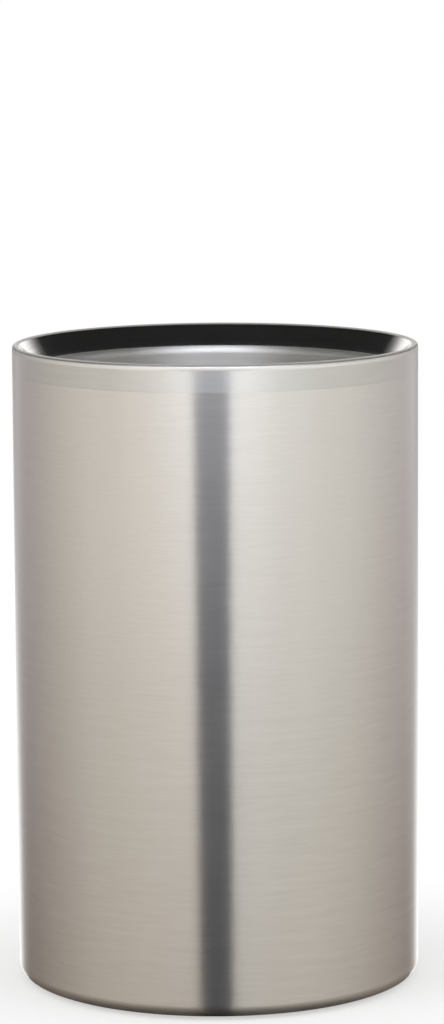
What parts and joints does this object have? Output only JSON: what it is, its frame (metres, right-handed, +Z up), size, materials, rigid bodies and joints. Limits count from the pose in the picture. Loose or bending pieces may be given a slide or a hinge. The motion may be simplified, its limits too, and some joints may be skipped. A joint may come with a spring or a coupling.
{
  "type": "double-walled bottle cooler",
  "caption": "Straight-sided double-walled bottle cooler in brushed steel, with a funnel-shaped rim, a deep open well for a bottle and a non-slip foot ring.",
  "frame": {"origin": "centre of the foot ring's underside, on the surface that the cooler stands on", "axes": "+Z is up, along the cooler's axis; the body is turned about Z, so X and Y are alike"},
  "size_m": [0.125, 0.125, 0.198],
  "materials": {
    "shell_steel": "stainless steel, brushed round the body",
    "liner_steel": "stainless steel, satin in the well, polished on the lip, brushed on the turned-down rim",
    "base_steel": "stainless steel, dull mill finish with faint turning marks",
    "sealant": "clear silicone sealant",
    "tape": "double-sided adhesive tape",
    "foot_rubber": "matte black rubber with fine moulded grooves",
    "foam": "closed-cell foam, charcoal"
  },
  "bodies": {
    "root": {"inner_liner": "liner_steel", "outer_shell": "shell_steel", "base_plate": "base_steel", "base_sealant": "sealant", "foot_tape": "tape", "foot_ring": "foot_rubber", "foam_damper": "foam", "centring_band": "foam"}
  },
  "joints": []
}
